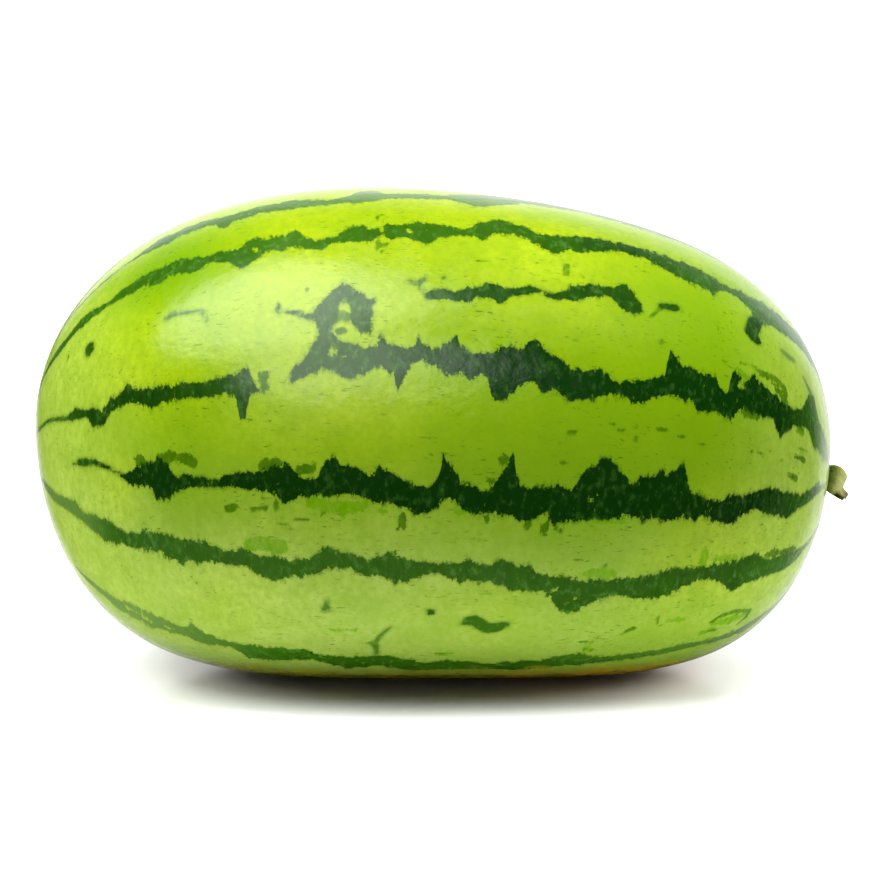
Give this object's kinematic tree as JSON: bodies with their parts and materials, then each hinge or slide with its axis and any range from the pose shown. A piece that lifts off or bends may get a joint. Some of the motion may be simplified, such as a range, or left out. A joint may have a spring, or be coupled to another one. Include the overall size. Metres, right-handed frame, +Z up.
{
  "type": "watermelon",
  "caption": "Whole long oval watermelon with dark jagged stripes on light green, lying on its ground spot, with the stub of its dried stem at one end.",
  "frame": {"origin": "middle of the flat ground spot, on the surface the fruit lies on, under the middle of its length", "axes": "+X runs along the fruit to the stem end, +Z is up, and -Y is its best side"},
  "size_m": [0.4082, 0.2474, 0.2454],
  "materials": {
    "rind": "waxy, glossy watermelon rind, light yellow-green with dark green jagged stripes",
    "dried_stem": "dull, dry, ridged olive-brown stem"
  },
  "bodies": {
    "root": {"fruit": "rind", "stem": "dried_stem"}
  },
  "joints": []
}
